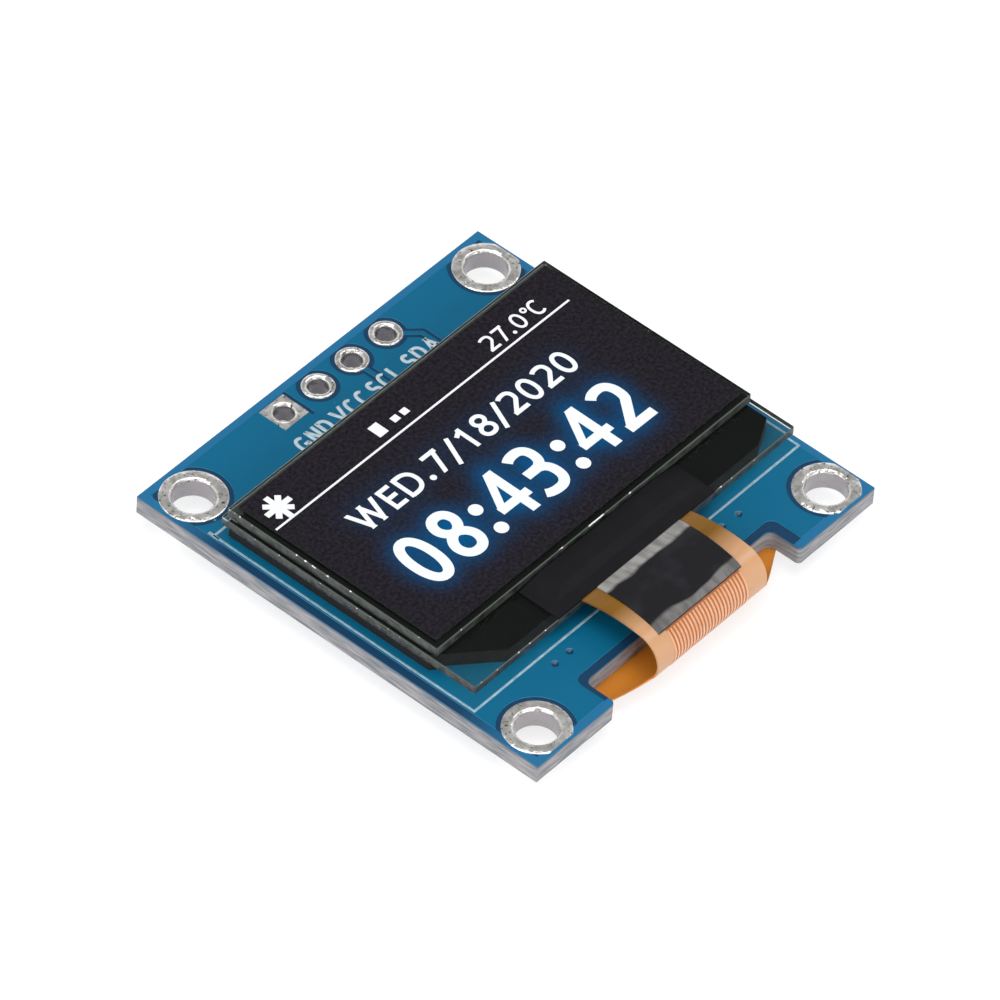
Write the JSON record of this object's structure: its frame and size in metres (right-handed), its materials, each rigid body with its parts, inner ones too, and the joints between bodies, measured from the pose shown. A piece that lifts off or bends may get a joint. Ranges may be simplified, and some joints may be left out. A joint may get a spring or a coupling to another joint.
{
  "type": "oled display module",
  "caption": "Small graphic display on a square circuit board: laminated glass panel on foam tape, folded flat cable, plated corner holes and a solder-pin row.",
  "frame": {"origin": "middle of the four mounting holes, on the back face of the laminate", "axes": "+Z leaves the screen; +X runs along the header row, away from its square first pad; +Y points from the cable edge to the header edge"},
  "size_m": [0.0254, 0.0261, 0.0042],
  "materials": {
    "circuit_board": "blue solder mask over copper and glass-fibre laminate, semi-gloss",
    "tin": "bright tinned copper with fine pits",
    "foam_tape": "black double-sided foam",
    "display_glass": "clear display glass with ground edges",
    "emitting_film": "thin emitting layers, dark when unlit",
    "edge_seal": "grey cured seal between the glasses",
    "polarizer": "smooth dark polarizer film",
    "driver_chip": "polished silicon",
    "black_tape": "black adhesive tape, slightly glossy",
    "flat_cable": "amber polyimide, translucent and glossy",
    "conductor": "thin copper under polyimide",
    "capacitor_body": "tan ceramic with tinned end caps",
    "resistor_body": "black coated ceramic with tinned end caps",
    "moulded_case": "black moulded epoxy with tinned legs"
  },
  "bodies": {
    "root": {"circuit_board": "circuit_board", "mounting_ring_1": "tin", "mounting_ring_2": "tin", "mounting_ring_3": "tin", "mounting_ring_4": "tin", "header_ring_1": "tin", "header_ring_2": "tin", "header_ring_3": "tin", "header_ring_4": "tin", "foam_tape": "foam_tape", "rear_glass": "display_glass", "emitting_film": "emitting_film", "edge_seal": "edge_seal", "front_glass": "display_glass", "polarizer": "polarizer", "driver_chip": "driver_chip", "chip_tape": "black_tape", "flat_cable": "flat_cable", "cable_conductors": "conductor", "cable_tape": "black_tape", "cable_joints": "tin", "capacitor_1": "capacitor_body", "capacitor_2": "capacitor_body", "capacitor_3": "capacitor_body", "capacitor_4": "capacitor_body", "capacitor_5": "capacitor_body", "capacitor_6": "capacitor_body", "capacitor_7": "capacitor_body", "resistor_1": "resistor_body", "resistor_2": "resistor_body", "resistor_3": "resistor_body", "resistor_4": "resistor_body", "resistor_5": "resistor_body", "resistor_6": "resistor_body", "resistor_7": "resistor_body", "regulator": "moulded_case", "diode": "moulded_case", "solder_joints": "tin"}
  },
  "joints": []
}
